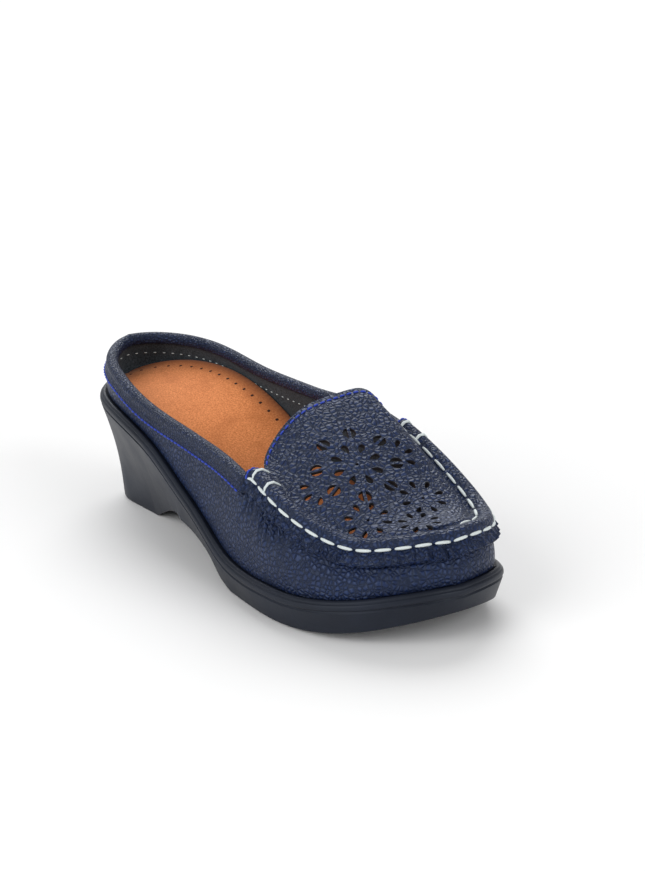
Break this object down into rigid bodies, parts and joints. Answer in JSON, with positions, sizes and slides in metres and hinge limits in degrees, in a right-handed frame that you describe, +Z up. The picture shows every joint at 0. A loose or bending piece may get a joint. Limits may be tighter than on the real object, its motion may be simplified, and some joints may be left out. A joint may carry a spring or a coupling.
{
  "type": "walking shoe",
  "caption": "Slip-on moccasin mule with a punched leather apron, raised sewn seam, rolled collar, tan insole and a one-piece black wedge sole, right foot.",
  "frame": {"origin": "centre of the shoe's outline, on the floor", "axes": "+X from the heel to the toe, +Y to the inner side of the foot, +Z up"},
  "size_m": [0.25, 0.092, 0.0769],
  "materials": {
    "sole": "moulded black polyurethane with a fine grain",
    "insole": "tan brushed leather",
    "upper": "navy tumbled leather",
    "collar": "navy rolled leather binding",
    "apron": "navy tumbled leather, punched"
  },
  "bodies": {
    "root": {"sole": "sole", "insole": "insole", "upper": "upper", "collar": "collar", "apron": "apron"}
  },
  "joints": []
}
